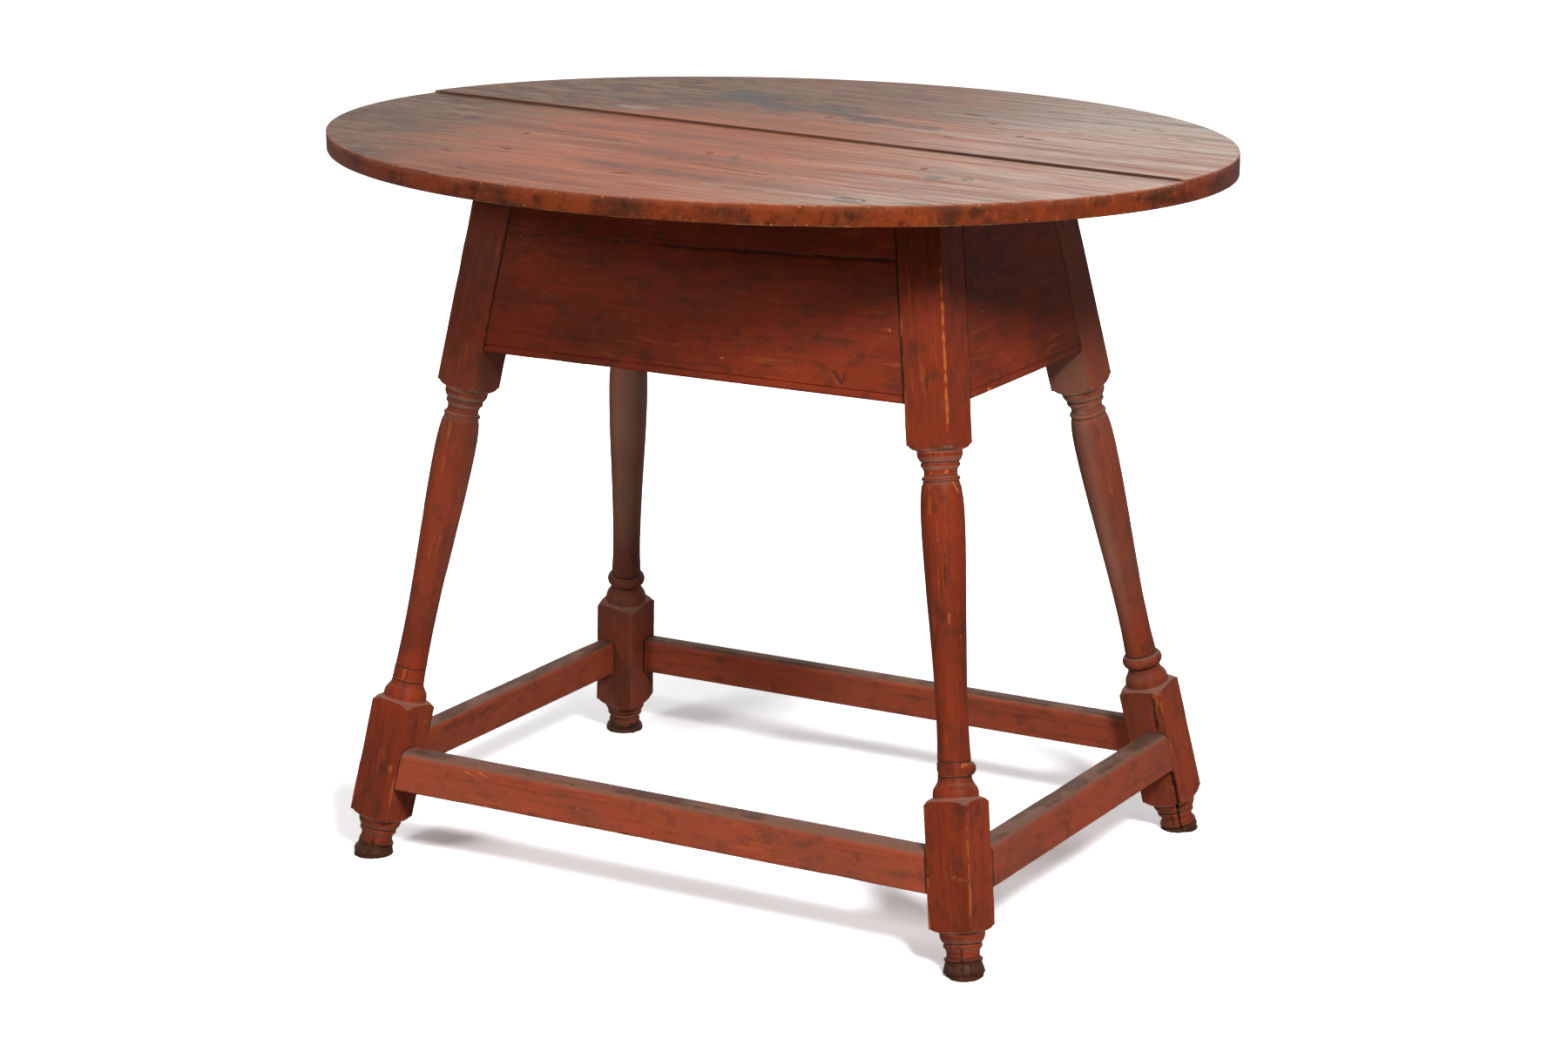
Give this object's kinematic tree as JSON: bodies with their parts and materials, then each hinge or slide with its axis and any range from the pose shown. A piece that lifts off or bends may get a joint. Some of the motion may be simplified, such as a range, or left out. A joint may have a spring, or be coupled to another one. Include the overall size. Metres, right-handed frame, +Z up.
{
  "type": "tavern table",
  "caption": "Oval-topped tavern table on raked turned legs with square blocks, deep aprons and low box stretchers, joined by pegged tenons.",
  "frame": {"origin": "on the floor under the middle of the oval top", "axes": "+X along the oval's length, +Y to the back, +Z up"},
  "size_m": [0.877, 0.6499, 0.6765],
  "materials": {
    "top_paint": "worn red paint",
    "frame_paint": "old red paint",
    "peg_wood": "old red paint"
  },
  "bodies": {
    "root": {"top_front_board": "top_paint", "top_back_board": "top_paint", "top_pins_front_board": "peg_wood", "top_pins_back_board": "peg_wood", "leg_front_left": "frame_paint", "apron_pegs_front_left": "peg_wood", "stretcher_pegs_front_left": "peg_wood", "leg_front_right": "frame_paint", "apron_pegs_front_right": "peg_wood", "stretcher_pegs_front_right": "peg_wood", "leg_back_left": "frame_paint", "apron_pegs_back_left": "peg_wood", "stretcher_pegs_back_left": "peg_wood", "leg_back_right": "frame_paint", "apron_pegs_back_right": "peg_wood", "stretcher_pegs_back_right": "peg_wood", "apron_front": "frame_paint", "stretcher_front": "frame_paint", "apron_back": "frame_paint", "stretcher_back": "frame_paint", "apron_left": "frame_paint", "stretcher_left": "frame_paint", "apron_right": "frame_paint", "stretcher_right": "frame_paint"}
  },
  "joints": []
}
